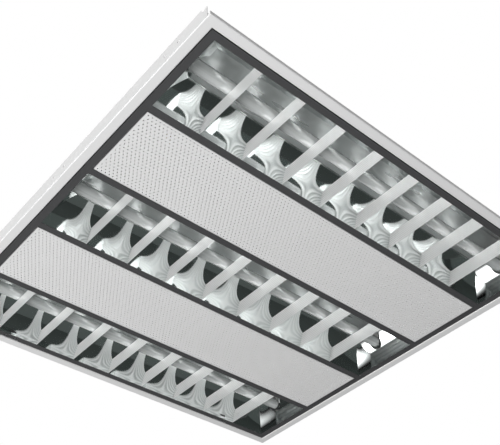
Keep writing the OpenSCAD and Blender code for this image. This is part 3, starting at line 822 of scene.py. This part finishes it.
def lamp_cap(row, end, body):
    """Crimped metal cap with its two pins."""
    out = ENDS[end]
    tip_x = LAMP_END + PIN_LONG
    parts = [lathe(CAP_OUTLINE, out * (LAMP_END - CAP_LONG), row, out)]
    for side in SIDES:
        y = ROWS[row] + side * PIN_Y
        xs = (LAMP_END - PIN_ROOT, tip_x - PIN_TIP_LONG, tip_x)
        root, neck, tip = [(out * x, y, LAMP_Z) for x in xs]
        parts.append(cylinder(PIN_R, root, neck, PIN_STEPS))
        parts.append(cylinder(PIN_R, neck, tip, PIN_STEPS, PIN_TIP_R))
    make_piece(joined(parts), f"lamp_cap_{row}_{end}", "crimped", cap_metal, body)


def lamp(row):
    """Glass tube with its two caps, and the rotors that turn with it."""
    body = f"lamp_{row}"
    glass_end = LAMP_END - CAP_LONG
    far_end = [(2 * glass_end - x, radius) for x, radius in reversed(TUBE_END)]
    tube = lathe(TUBE_END + far_end, -glass_end, row, 1)
    make_piece(tube, f"lamp_tube_{row}", "glass", lamp_white, body)
    for end in ENDS:
        lamp_cap(row, end, body)
        softened(f"rotor_{row}_{end}", 0.15, "moulded", holder_plastic, body)


# The whole light
housing_tray()
for end in ENDS:
    end_plate(end)
for row in ROWS:
    lamp_reflector(row)
    lamp(row)
    cross_blades(row)
    for end in ENDS:
        end_mirror(row, end)
        softened(f"lampholder_{row}_{end}", 0.3, "moulded", holder_plastic, "housing")
for row, place, side in SIDE_MIRRORS:
    side_mirror(row, place, side)
perforated_panel("front", -PANEL_Y)
perforated_panel("rear", PANEL_Y)
softened("louvre_tray", 0.2, "painted", dark_paint, "louvre")
softened("control_gear", 0.4, "case", gear_paint, "housing")
softened("terminal_block", 0.4, "moulded", holder_plastic, "housing")
softened("cable_grommet", 0.3, "rubber", rubber, "housing")
softened("earth_stud", 0.2, "turned", brass, "housing")
softened("gear_screws", 0.3, "turned", zinc, "housing")
softened("end_plate_rivets", 0.25, "set", zinc, "housing")
for end in ENDS:
    softened(f"hinge_bracket_{end}", 0.12, "pressed", zinc, "housing")
    softened(f"hinge_pin_{end}", 0.12, "turned", zinc, "housing")
    softened(f"latch_spring_{end}", 0.08, "leaf", zinc, "housing")

# Room, lights and camera, in metres, watts and degrees
MIDDLE = Vector((0, 0, 0))
FLOOR_SIZE = (9, 9)
FLOOR_PLACE = (0, 0, -2.4)
CLOTH_RADIUS = 3.2
CLOTH_LOW = -2.38
CLOTH_TOP = -0.1
SOFT_BOX_SIZE = (3.07, 1.85)
SOFT_BOX_PLACE = (-2.1, 0.27, -1.40)
SOFT_BOX_STRENGTH = 10.0
SOFT_BOX_POWER = 2.2
FADE_LEFT = (0.0, 0.52)
FADE_RIGHT = (1.0, 0.92)
FADE_ACROSS = (0.5, 0.1)
ROOM_STRENGTH = 0.22
SUN_PLACE = (0, 0, 3)
SUN_STRENGTH = 1.8
SUN_ANGLE = 12
SENSOR_WIDE = 36
PHOTO_WIDE = 500
FOCAL_PIXELS = 832.7
CAMERA_SHIFT = (0.0316, 0.0731)
CAMERA_PLACE = (-0.58443, -0.63793, -0.69200)
CAMERA_TURN = (130.852, 1.849, -40.147)


def plain_surface(name, colour):
    """A dull finish for what stands round the light."""
    material = bpy.data.materials.new(name)
    material.use_nodes = True
    shader = material.node_tree.nodes["Principled BSDF"]
    shader.inputs["Base Color"].default_value = (*colour, 1)
    shader.inputs["Roughness"].default_value = 0.9
    return material


def flat_card(name, size, place, material):
    """A flat card that faces the middle."""
    bm = bmesh.new()
    bm.loops.layers.uv.new("across")
    bmesh.ops.create_grid(bm, x_segments=1, y_segments=1, size=0.5, calc_uvs=True)
    bmesh.ops.scale(bm, vec=(*size, 1), verts=bm.verts)
    turn = (MIDDLE - Vector(place)).to_track_quat("Z", "Y").to_matrix().to_4x4()
    bmesh.ops.transform(bm, matrix=Matrix.Translation(place) @ turn, verts=bm.verts)
    card = as_object(name, bm, material)
    return card


def only_reflected(card):
    """Leaves a card to be seen in reflections alone."""
    card.visible_camera = False
    card.visible_diffuse = False
    card.visible_shadow = False


def dark_cloth():
    """A round dark cloth, lying below the light and standing round it."""
    bm = bmesh.new()
    outline = ((0, 0, CLOTH_LOW), (CLOTH_RADIUS, 0, CLOTH_LOW), (CLOTH_RADIUS, 0, CLOTH_TOP))
    points = [bm.verts.new(place) for place in outline]
    edges = [bm.edges.new(pair) for pair in zip(points, points[1:])]
    bmesh.ops.spin(bm, geom=edges, cent=(0, 0, 0), axis=(0, 0, 1), angle=2 * math.pi,
                   steps=ROUND_STEPS, use_merge=True, use_duplicate=False)
    bmesh.ops.remove_doubles(bm, verts=bm.verts, dist=0.0001)
    cloth = as_object("dark_cloth", bm, plain_surface("dark_cloth", (0.065, 0.078, 0.074)))
    only_reflected(cloth)


def soft_box():
    """The bright panel that the metal reflects, fading out towards its edges."""
    material = bpy.data.materials.new("soft_box")
    material.use_nodes = True
    tree = material.node_tree
    spot = tree.nodes.new("ShaderNodeUVMap")
    spot.uv_map = "across"
    split = tree.nodes.new("ShaderNodeSeparateXYZ")
    tree.links.new(spot.outputs["UV"], split.inputs["Vector"])
    along = split.outputs["X"]
    away = worked_out(tree, "ABSOLUTE", worked_out(tree, "SUBTRACT", split.outputs["Y"], 0.5))
    level = worked_out(tree, "MULTIPLY", ranged(tree, along, 0, 1, *FADE_LEFT),
                       ranged(tree, along, 0, 1, *FADE_RIGHT))
    level = worked_out(tree, "MULTIPLY", level, ranged(tree, away, 0, 1, *FADE_ACROSS))
    level = worked_out(tree, "POWER", level, SOFT_BOX_POWER)
    level = worked_out(tree, "MULTIPLY", level, SOFT_BOX_STRENGTH)
    glow = tree.nodes.new("ShaderNodeEmission")
    tree.links.new(level, glow.inputs["Strength"])
    tree.links.new(glow.outputs[0], tree.nodes["Material Output"].inputs["Surface"])
    only_reflected(flat_card("soft_box", SOFT_BOX_SIZE, SOFT_BOX_PLACE, material))


def area_light(name, place, size, power, glossy=True):
    """A rectangle of light that faces the middle."""
    data = bpy.data.lights.new(name, "AREA")
    data.shape = "RECTANGLE"
    data.size, data.size_y = size
    data.energy = power
    light = bpy.data.objects.new(name, data)
    light.location = place
    light.rotation_euler = (MIDDLE - Vector(place)).to_track_quat("-Z", "Y").to_euler()
    light.visible_glossy = glossy
    scene.collection.objects.link(light)


def sky_light():
    """A broad sun straight above, which lights the floor."""
    data = bpy.data.lights.new("sky_light", "SUN")
    data.energy = SUN_STRENGTH
    data.angle = math.radians(SUN_ANGLE)
    light = bpy.data.objects.new("sky_light", data)
    light.location = SUN_PLACE
    scene.collection.objects.link(light)


def studio_world():
    """An even grey light for dull surfaces, and a white background for the camera and reflections."""
    world = bpy.data.worlds.new("studio")
    scene.world = world
    world.use_nodes = True
    tree = world.node_tree
    room_light = tree.nodes["Background"]
    room_light.inputs["Color"].default_value = (0.80, 0.80, 0.80, 1)
    room_light.inputs["Strength"].default_value = ROOM_STRENGTH
    backdrop = tree.nodes.new("ShaderNodeBackground")
    backdrop.inputs["Color"].default_value = (1, 1, 1, 1)
    backdrop.inputs["Strength"].default_value = 1.0
    ray = tree.nodes.new("ShaderNodeLightPath")
    shown = worked_out(tree, "MAXIMUM", ray.outputs["Is Camera Ray"], ray.outputs["Is Glossy Ray"])
    shown = worked_out(tree, "MAXIMUM", shown, ray.outputs["Is Transmission Ray"])
    mix = tree.nodes.new("ShaderNodeMixShader")
    tree.links.new(shown, mix.inputs["Fac"])
    tree.links.new(room_light.outputs[0], mix.inputs[1])
    tree.links.new(backdrop.outputs[0], mix.inputs[2])
    tree.links.new(mix.outputs[0], tree.nodes["World Output"].inputs["Surface"])


floor = flat_card("floor", FLOOR_SIZE, FLOOR_PLACE, plain_surface("pale_floor", (0.80, 0.80, 0.79)))
floor.visible_diffuse = False
dark_cloth()
soft_box()
studio_world()
area_light("key_light", (-2.05, 0.31, -1.58), size=(2.8, 1.3), power=66, glossy=False)
area_light("fill_light", (-1.0, -1.1, -1.7), size=(1.6, 1.6), power=14, glossy=False)
area_light("top_light", (0.5, 0.9, 2.4), size=(2.4, 2.4), power=10)
sky_light()

camera_data = bpy.data.cameras.new("camera")
camera_data.sensor_width = SENSOR_WIDE
camera_data.lens = FOCAL_PIXELS * SENSOR_WIDE / PHOTO_WIDE
camera_data.shift_x, camera_data.shift_y = CAMERA_SHIFT
camera_data.clip_start = 0.01
camera_data.clip_end = 50
camera = bpy.data.objects.new("camera", camera_data)
camera.location = CAMERA_PLACE
camera.rotation_euler = [math.radians(angle) for angle in CAMERA_TURN]
scene.collection.objects.link(camera)
scene.camera = camera
scene.view_settings.view_transform = "Standard"
